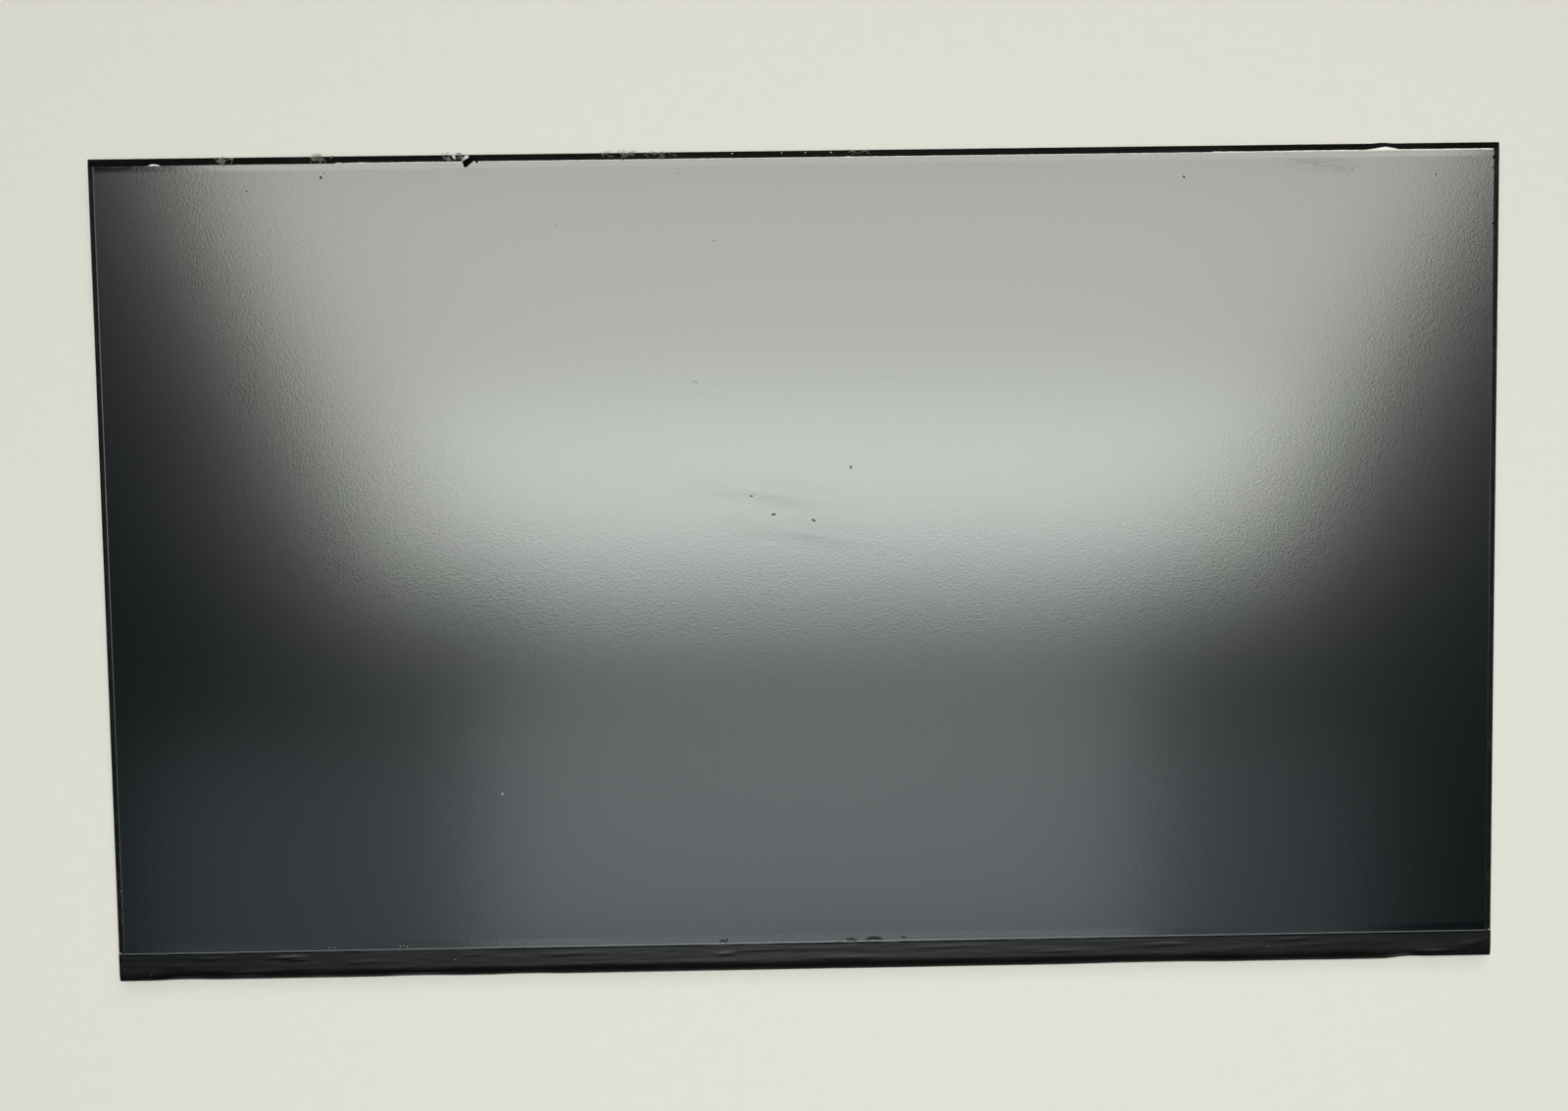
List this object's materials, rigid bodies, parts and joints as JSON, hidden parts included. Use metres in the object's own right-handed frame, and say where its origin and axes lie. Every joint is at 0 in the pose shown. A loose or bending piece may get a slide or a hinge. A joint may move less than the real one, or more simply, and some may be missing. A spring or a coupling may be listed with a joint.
{
  "type": "laptop screen panel",
  "caption": "Slim wide-format laptop display module with a matte screen, taped edges, a flat metal back and a drive board with a video socket behind its bottom edge.",
  "frame": {"origin": "under the middle of the outline, at the lowest point of the panel lying face up", "axes": "+X along the long edge, to the right as the screen is seen; +Y towards the top edge; +Z out of the screen"},
  "size_m": [0.3506, 0.207, 0.0032],
  "materials": {
    "matte_screen": "anti-glare hard coat",
    "cell_glass": "clear sheet glass",
    "polariser_film": "smooth dark film",
    "black_tape": "satin black polyester tape",
    "polyimide_flex": "amber polyimide film",
    "driver_silicon": "bare chip, polished",
    "white_frame": "white moulded polycarbonate",
    "cover_aluminium": "rolled sheet",
    "reflector_film": "white or silvered film",
    "guide_acrylic": "clear acrylic sheet",
    "optical_film": "translucent film",
    "white_flex": "white coated flexible circuit",
    "emitter_package": "moulded package with phosphor",
    "board_mask": "green solder mask",
    "adhesive_tape": "double-sided tape",
    "chip_mould": "black moulded epoxy",
    "ferrite": "pressed ferrite",
    "capacitor_ceramic": "fired ceramic with tinned ends",
    "resistor_ceramic": "fired ceramic",
    "socket_plastic": "moulded liquid-crystal polymer",
    "socket_steel": "tinned steel sheet",
    "contact_gold": "gold-plated contact",
    "cover_film": "black polyester film"
  },
  "bodies": {
    "root": {"front_polariser": "matte_screen", "colour_filter_glass": "cell_glass", "array_glass": "cell_glass", "rear_polariser": "polariser_film", "top_edge_tape": "black_tape", "left_edge_tape": "black_tape", "right_edge_tape": "black_tape", "bottom_cover_tape": "black_tape", "rim_tape": "black_tape", "source_flex_1": "polyimide_flex", "source_flex_2": "polyimide_flex", "source_flex_3": "polyimide_flex", "source_flex_4": "polyimide_flex", "source_driver_1": "driver_silicon", "source_driver_2": "driver_silicon", "source_driver_3": "driver_silicon", "source_driver_4": "driver_silicon", "mould_frame": "white_frame", "back_cover": "cover_aluminium", "reflector_sheet": "reflector_film", "light_guide": "guide_acrylic", "lower_diffuser": "optical_film", "lower_prism_sheet": "optical_film", "upper_prism_sheet": "optical_film", "light_strip_flex": "white_flex", "light_emitters": "emitter_package", "control_board": "board_mask", "board_tape": "adhesive_tape", "timing_controller": "chip_mould", "memory_chip": "chip_mould", "power_chip": "chip_mould", "backlight_driver": "chip_mould", "inductors": "ferrite", "chip_capacitors": "capacitor_ceramic", "chip_resistors": "resistor_ceramic", "video_socket_housing": "socket_plastic", "video_socket_shell": "socket_steel", "video_socket_contacts": "contact_gold", "board_cover_film": "cover_film"}
  },
  "joints": []
}
